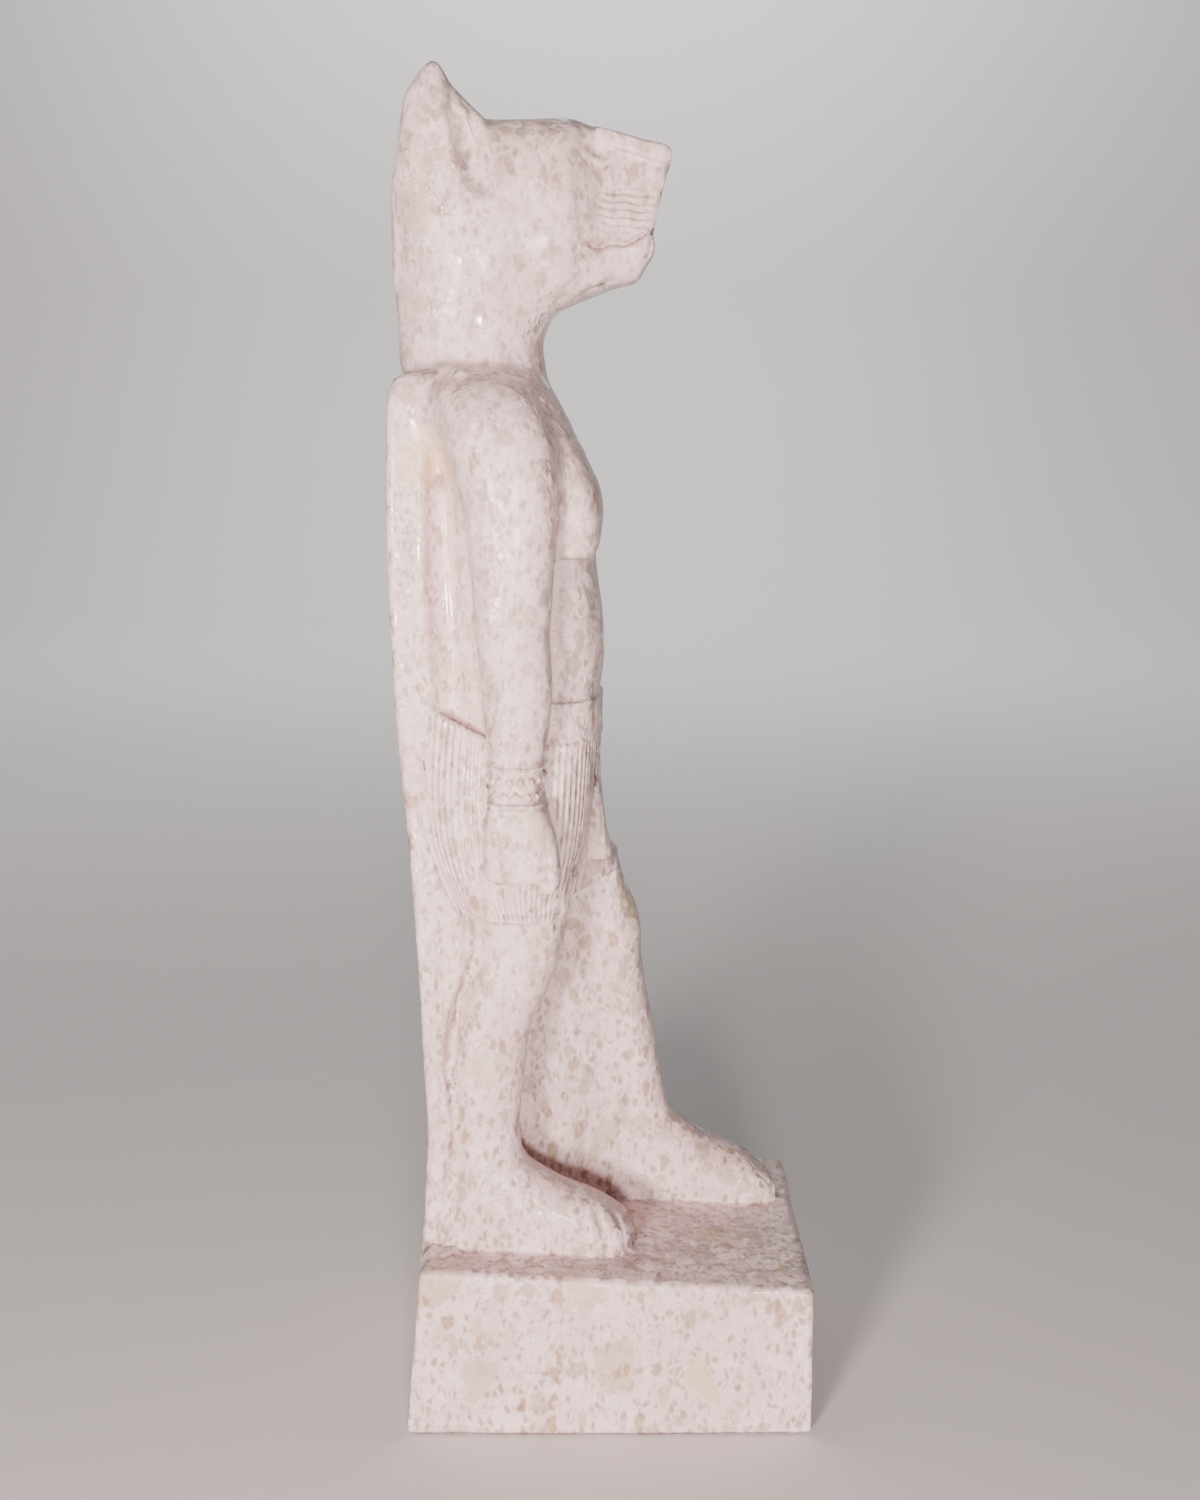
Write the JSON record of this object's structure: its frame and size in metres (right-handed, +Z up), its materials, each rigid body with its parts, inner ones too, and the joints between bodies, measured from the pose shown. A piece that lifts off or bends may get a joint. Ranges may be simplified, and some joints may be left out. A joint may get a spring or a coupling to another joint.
{
  "type": "cat-headed statue on a plinth",
  "caption": "Striding cat-headed figure in a pleated kilt, with a back pillar and a plinth, cast in one piece of white crushed stone.",
  "frame": {"origin": "middle of the plinth's underside", "axes": "+Z up, the figure faces -Y, its right side is -X"},
  "size_m": [0.058, 0.0792, 0.2506],
  "materials": {
    "stone": "polished"
  },
  "bodies": {
    "root": {"bastet_statue": "stone"}
  },
  "joints": []
}
